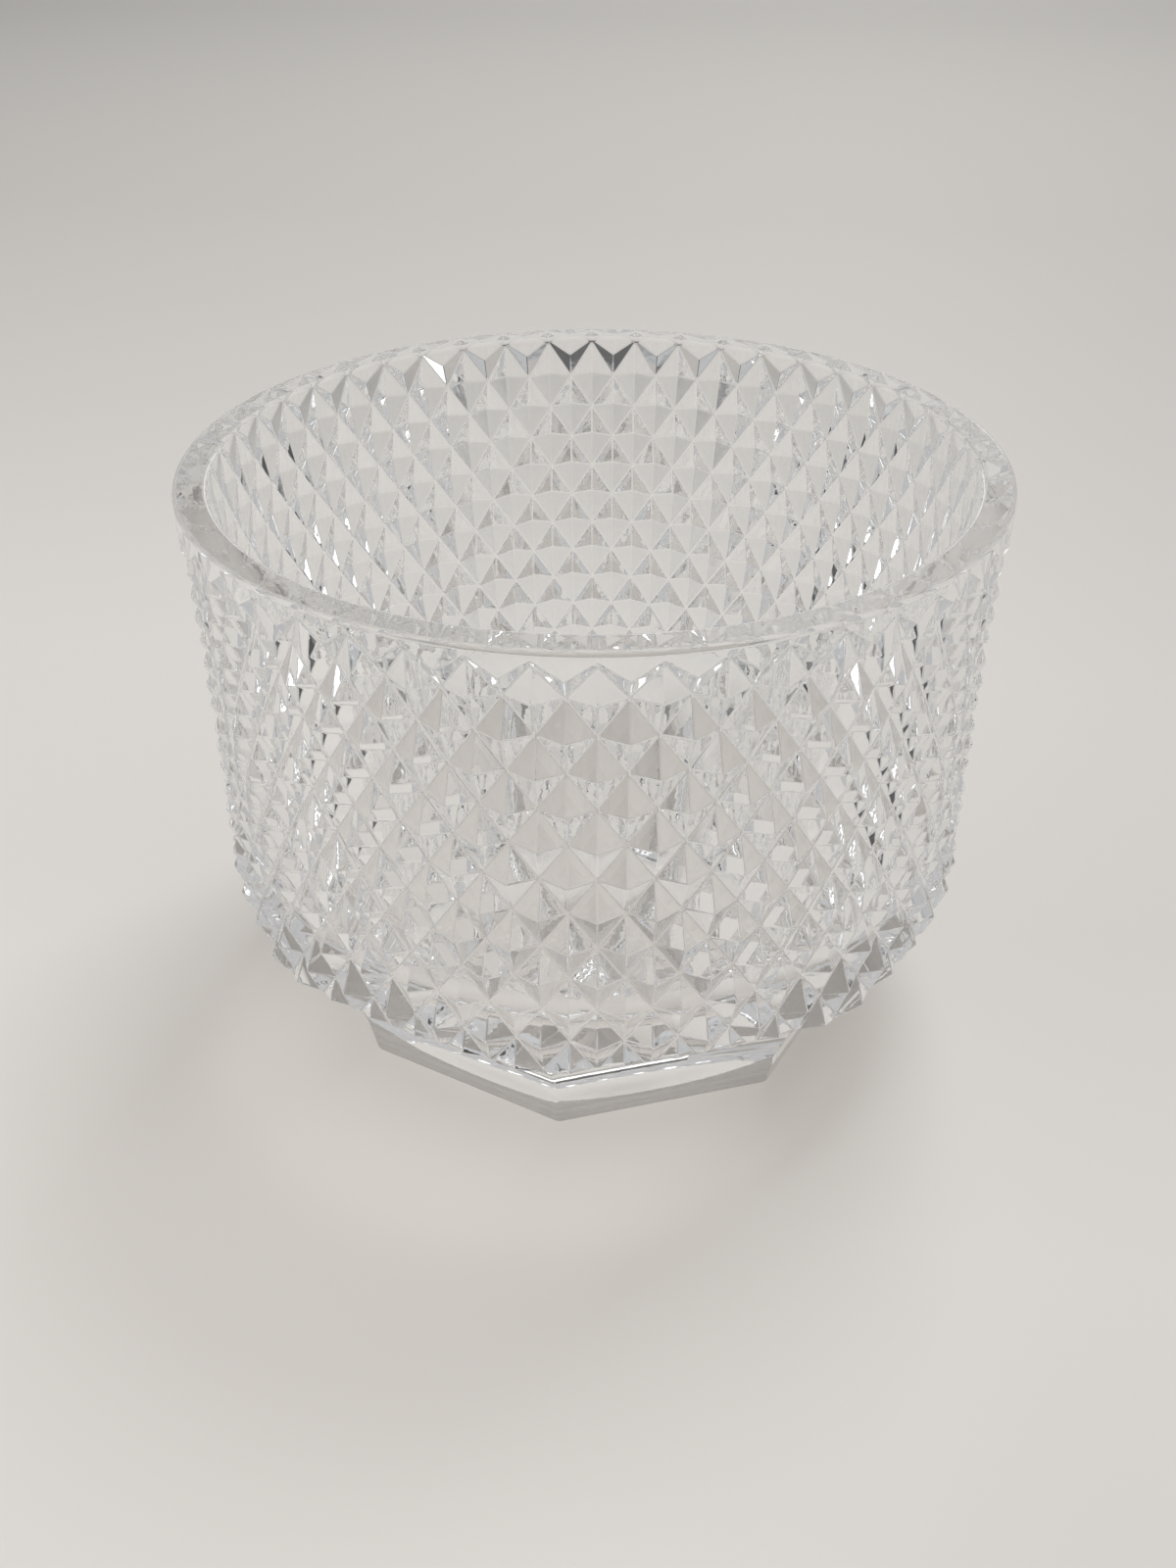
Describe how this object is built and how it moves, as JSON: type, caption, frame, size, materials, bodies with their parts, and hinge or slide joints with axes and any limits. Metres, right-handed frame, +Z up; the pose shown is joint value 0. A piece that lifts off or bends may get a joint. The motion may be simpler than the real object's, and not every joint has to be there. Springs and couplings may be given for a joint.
{
  "type": "whiskey tumbler",
  "caption": "Squat clear glass tumbler with a smooth round inside, a wall of cut diamond points and an eight-sided foot.",
  "frame": {"origin": "centre of the foot's underside, on the surface that the glass stands on", "axes": "+Z up along the axis of the glass, -Y through one corner of the eight-sided foot"},
  "size_m": [0.096, 0.096, 0.072],
  "materials": {
    "clear_glass": "polished clear glass"
  },
  "bodies": {
    "root": {"tumbler_glass": "clear_glass"}
  },
  "joints": []
}
